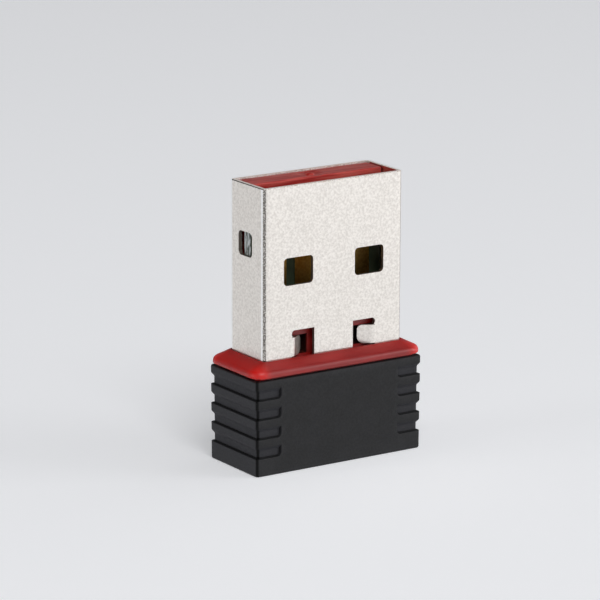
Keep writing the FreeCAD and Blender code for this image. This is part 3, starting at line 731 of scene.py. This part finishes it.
# %% Steel, plated: the finish
def plated_steel():
    """Satin nickel with the mirror inside, the cuts and the burr as its coats, and at the folds a painted dark line
    and a painted highlight, with painted shade on the bevel and on the lock tabs.
    """
    material, tree = new_material("steel_nickel_plated")
    place = place_in_mm(tree)
    parts = add(tree, "SeparateXYZ", [place])
    facing = add(tree, "SeparateXYZ", [add(tree, "TexCoord")["Normal"]])
    dimples = grain(tree, place, 0.17, detail=3.0, roughness=0.6)
    fine_breakup = grain(tree, place, 0.09)

    depth, across_fold, narrow_half = place_in_sheet(tree, place)
    on_tab = inside_the_locks(tree, parts)
    below_skin = add(tree, "MapRange", [depth, *plated_skin, 0, 1], **S_CURVE)[0]
    below_skin = add(tree, "Mix", {"Factor": on_tab, "A": below_skin, "B": seen_edge_on(tree, facing)})["Result"]
    inside = add(tree, "MapRange", [depth, *mirror_side, 0, 1], **S_CURVE)[0]
    inside = add(tree, "Mix", {"Factor": on_tab, "A": inside, "B": 0.0})["Result"]
    cut = add(tree, "Math", [below_skin, inside], operation="SUBTRACT")[0]

    # Painted dark reflection: a thin, broken, darker line along the middle of each fold, strongest on the left.
    fold_middle = add(tree, "MapRange", [across_fold, 0.74, 0.92, 0, 1], **S_CURVE)[0]
    fold_line_breaks = add(tree, "MapRange", [fine_breakup, 0.3, 0.55, 0, 1], **S_CURVE)[0]
    leftwards = add(tree, "MapRange", [parts["X"], -1, 1, 1, 0.4], **S_CURVE)[0]
    beside_narrow = add(tree, "MapRange", [narrow_half, 0.3, 0.6, 0, 1], **S_CURVE)[0]
    in_fold = add(tree, "MapRange", [across_fold, 0.1, 0.4, 0, 1], **S_CURVE)[0]

    burr, bevel = on_the_tip(tree, parts, facing, depth)
    rubbed = rubbed_by_the_tongue(tree, parts, facing, inside, fine_breakup)
    burr = add(tree, "Math", [burr, rubbed], operation="MAXIMUM")[0]
    chalky = add(tree, "MapRange", [fine_breakup, 0.35, 0.6, 0, 1], **S_CURVE)[0]
    # Painted shade: breaks in the thin dark line on the bevel at the tip.
    bevel_line_breaks = add(tree, "MapRange", [fine_breakup, 0.3, 0.5, 0.35, 1], **S_CURVE)[0]
    # Painted shade: the lock tabs are painted darker where they turn furthest.
    painted_tab_shade = shade_on_turned_tab(tree, parts, facing, on_tab)

    skin = coats(tree, colour("#E2DCD4"),
                 (add(tree, "MapRange", [dimples, *noise_span, 0, 1], **S_CURVE)[0], colour("#FAF5EE")),
                 # Painted highlight: white beside each fold, towards the narrow face.
                 (all_of(tree, beside_narrow, in_fold), colour("#FFFFFF")),
                 (all_of(tree, fold_middle, fold_line_breaks, leftwards), colour("#74706B")),
                 (inside, colour("#D9D3CA")),
                 (cut, colour("#8B8178")),
                 (burr, coats(tree, colour("#D2BFB0"), (chalky, colour("#FCF9F5")))),
                 (all_of(tree, bevel, bevel_line_breaks), colour("#3A3532")),
                 (painted_tab_shade, colour("#544D47")))
    satin = add(tree, "MapRange", [dimples, *noise_span, 0.3, 0.36], **S_CURVE)[0]
    for cover, roughness in ((inside, 0.14), (cut, 0.5), (painted_tab_shade, 0.6)):
        satin = add(tree, "Mix", {"Factor": cover, "A": satin, "B": roughness})["Result"]
    metal = add(tree, "Mix", {"Factor": burr, "A": 1.0, "B": 0.0})["Result"]
    relief = add(tree, "Bump", {"Height": dimples, "Distance": 0.006 * MM, "Strength": 0.5})["Normal"]
    finish_material(tree, Base_Color=skin, Metallic=metal, Roughness=satin, Normal=relief)
    return material


# %% [markdown]
# ### The board and its metal
#
# The board is glass cloth in epoxy.  Its faces wear a dark green solder mask, a clear lacquer over the copper that
# shows the weave faintly.  Its routed edges are bare: pale, fuzzy streaks of glass that run along the layers.

# %% Laminate, masked and routed
routed_edge = 5.585, 5.595                  # the board's sides lie at 5.6 mm


def masked_laminate():
    """Green mask over a faint weave, and bare fibres on the sides."""
    material, tree = new_material("laminate_green_mask")
    place = place_in_mm(tree)
    size = add(tree, "Math", [add(tree, "SeparateXYZ", [place])["X"]], operation="ABSOLUTE")[0]
    on_side = add(tree, "MapRange", [size, *routed_edge, 0, 1], **S_CURVE)[0]
    fibres = grain(tree, place, 0.15, detail=3.0, stretch=(1, 1, 0.3))
    weave = grain(tree, place, 0.35, stretch=(1, 1, 0.4))
    woven = add(tree, "MapRange", [weave, *noise_core, 0, 1], **S_CURVE)[0]
    frayed = add(tree, "MapRange", [fibres, 0.38, 0.6, 0, 1], **S_CURVE)[0]
    body = coats(tree, colour("#46523F"),
                 (woven, colour("#525E4A")),
                 (on_side, coats(tree, colour("#5C665F"), (frayed, colour("#E8EDED")))))
    gloss = add(tree, "Mix", {"Factor": on_side, "A": 0.3, "B": 0.6})["Result"]
    relief = add(tree, "Bump", {"Height": fibres, "Distance": 0.01 * MM, "Strength": 0.3})["Normal"]
    finish_material(tree, Base_Color=body, Roughness=gloss, IOR=1.5, Normal=relief)
    return material


# %% [markdown]
# The other small finishes differ in colour and grain only, so one function makes them all: two close colours that
# drift into each other over a grain of real width, with a relief and a roughness to match.

# %% Small finishes
def drifting_finish(name, first, second, grain_mm, relief_mm, **inputs):
    """A finish whose colour drifts between two close tones over grains of the given width."""
    material, tree = new_material(name)
    noise = grain(tree, place_in_mm(tree), grain_mm, detail=3.0)
    drift = add(tree, "MapRange", [noise, *noise_span, 0, 1], **S_CURVE)[0]
    relief = add(tree, "Bump", {"Height": noise, "Distance": relief_mm * MM, "Strength": 0.4})["Normal"]
    finish_material(tree, Base_Color=coats(tree, colour(first), (drift, colour(second))), Normal=relief, **inputs)
    return material


abs_finish = moulded_abs()
# Hard gold over nickel: a warm metal with fine plating grain.
gold = drifting_finish("gold_plated_strip", "#D0A050", "#E2B766", 0.2, 0.004, Metallic=1.0, Roughness=0.36)
# Bare copper foil under lacquer: the antenna is masked, so it reads as a paler green than the board.
foil = drifting_finish("copper_foil_masked", "#2F5238", "#386042", 0.3, 0.004, Roughness=0.32, IOR=1.5)
# Novolac epoxy moulded round the chip: charcoal, with the sparkle of its silica filler.
resin = drifting_finish("epoxy_moulded_chip", "#17181A", "#232427", 0.08, 0.006, Roughness=0.55, IOR=1.55)
# Tin over copper: leads and end caps, dulled by the solder that wetted them.
tin = drifting_finish("tin_reflowed", "#B4B3AE", "#CBCAC5", 0.15, 0.012, Metallic=1.0, Roughness=0.38)
# Barium titanate, sintered: the tan of a chip capacitor.
titanate = drifting_finish("titanate_sintered", "#8A6C4C", "#9C7C5A", 0.1, 0.006, Roughness=0.45, IOR=1.6)
# Alumina with a black resistive film under glaze.
film = drifting_finish("resistor_film_glazed", "#101113", "#1B1C1F", 0.15, 0.004, Roughness=0.25, IOR=1.5)
# White alumina, sintered: the crystal's base and the matching coils.
alumina = drifting_finish("alumina_sintered", "#C9C5BB", "#D8D5CC", 0.1, 0.006, Roughness=0.5, IOR=1.6)
# Ferrite, pressed and fired: dark grey and slightly rough.
ferrite = drifting_finish("ferrite_fired", "#26272A", "#333438", 0.09, 0.01, Roughness=0.6, IOR=1.6)
# Kovar lid, nickel plated and seam welded.
lid = drifting_finish("kovar_lid_plated", "#BEB7A4", "#CEC8B6", 0.12, 0.004, Metallic=1.0, Roughness=0.3)

# %% [markdown]
# ## Dress the solids
#
# Each solid keeps its mesh and only gets a finish.

# %% Assign the finishes
finishes = {
    "housing": abs_finish,
    "carrier": moulded_pbt(),
    "usb_shell": plated_steel(),
    "circuit_board": masked_laminate(),
    "antenna_trace": foil,
    "wifi_chip": resin,
    "regulator_body": resin,
    "crystal_base": alumina,
    "crystal_lid": lid,
    "choke_core": ferrite,
    "capacitor_bodies": titanate,
    "resistor_bodies": film,
    "matching_coil_bodies": alumina,
}
for name in ("contact_power", "contact_data_minus", "contact_data_plus", "contact_ground"):
    finishes[name] = gold
for name in ("wifi_chip_leads", "regulator_pins", "choke_caps", "capacitor_caps", "resistor_caps",
             "matching_coil_caps"):
    finishes[name] = tin
for name, part in nodes.items():
    part.data.materials.clear()
    part.data.materials.append(finishes[name])
for piece in (cup, *posts):
    piece.data.materials.append(abs_finish)
print("finishes:", len(set(finishes.values())))
